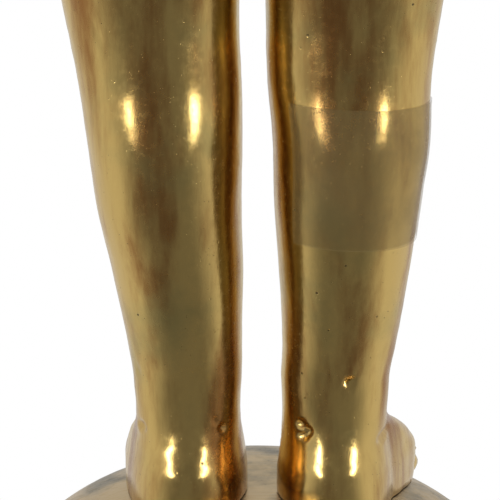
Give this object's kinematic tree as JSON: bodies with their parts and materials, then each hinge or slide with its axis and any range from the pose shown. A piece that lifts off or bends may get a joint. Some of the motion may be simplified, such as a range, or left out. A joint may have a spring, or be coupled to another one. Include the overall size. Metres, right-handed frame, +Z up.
{
  "type": "radha statue",
  "caption": "Standing cast brass statue of Radha in a short wrapped skirt and bodice on a low round lotus base, for a shelf or altar",
  "frame": {"origin": "middle of the base's flat underside", "axes": "+Z up through the figure, the figure faces -Y, +X is the figure's left"},
  "size_m": [0.1061, 0.1089, 0.3492],
  "materials": {
    "old_brass": "polished cast brass with brown toning, pits and file marks",
    "dull_brass": "dull scratched cast brass with grey dirt in the hollows",
    "matt_film": "matt translucent film"
  },
  "bodies": {
    "root": {"figure": "old_brass", "lotus_base": "dull_brass", "film_strip": "matt_film"}
  },
  "joints": []
}
